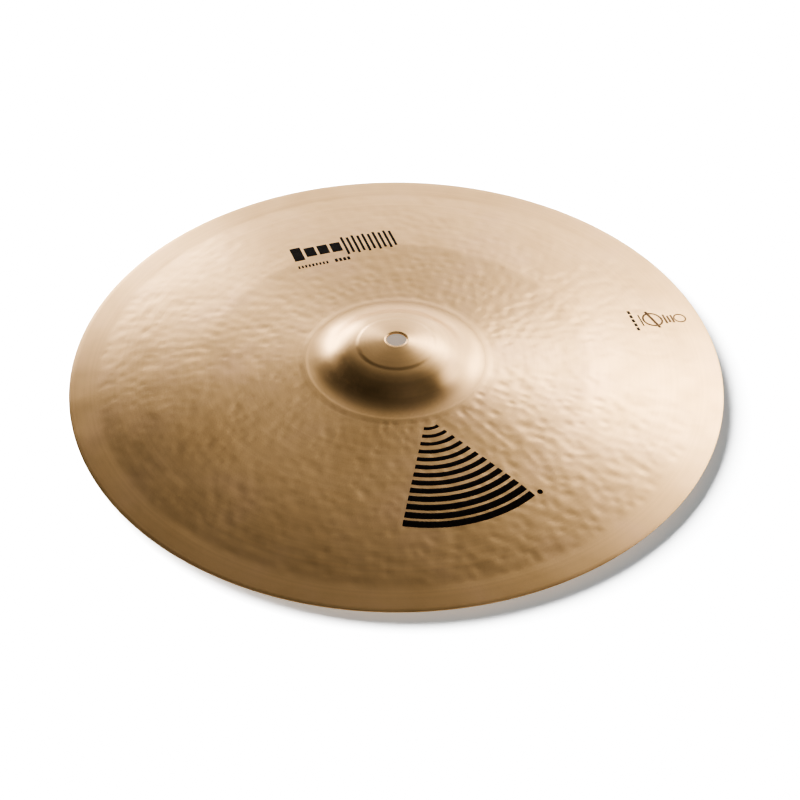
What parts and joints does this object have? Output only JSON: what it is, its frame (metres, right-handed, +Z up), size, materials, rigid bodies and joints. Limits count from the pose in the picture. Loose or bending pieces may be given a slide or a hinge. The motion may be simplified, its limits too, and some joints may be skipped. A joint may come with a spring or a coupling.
{
  "type": "crash cymbal",
  "caption": "Thin round bronze cymbal with a raised bell, a hand-hammered bow, a smooth rim band and a centre hole that hangs it on a stand to be struck.",
  "frame": {"origin": "centre of the circle that the rim rests on", "axes": "+Z up through the mounting hole, away from the table; -Y is towards the printed emblem's side"},
  "size_m": [0.4064, 0.4064, 0.0391],
  "materials": {
    "bronze": "lathed and hammered cast bronze, satin",
    "black_ink": "screen-printed ink, matt",
    "burnt_bronze": "laser-burnt bronze, matt"
  },
  "bodies": {
    "root": {"cymbal_body": "bronze", "emblem_print": "black_ink", "title_print": "black_ink", "size_print": "black_ink", "weight_print": "black_ink", "hallmark_stamp": "burnt_bronze"}
  },
  "joints": []
}
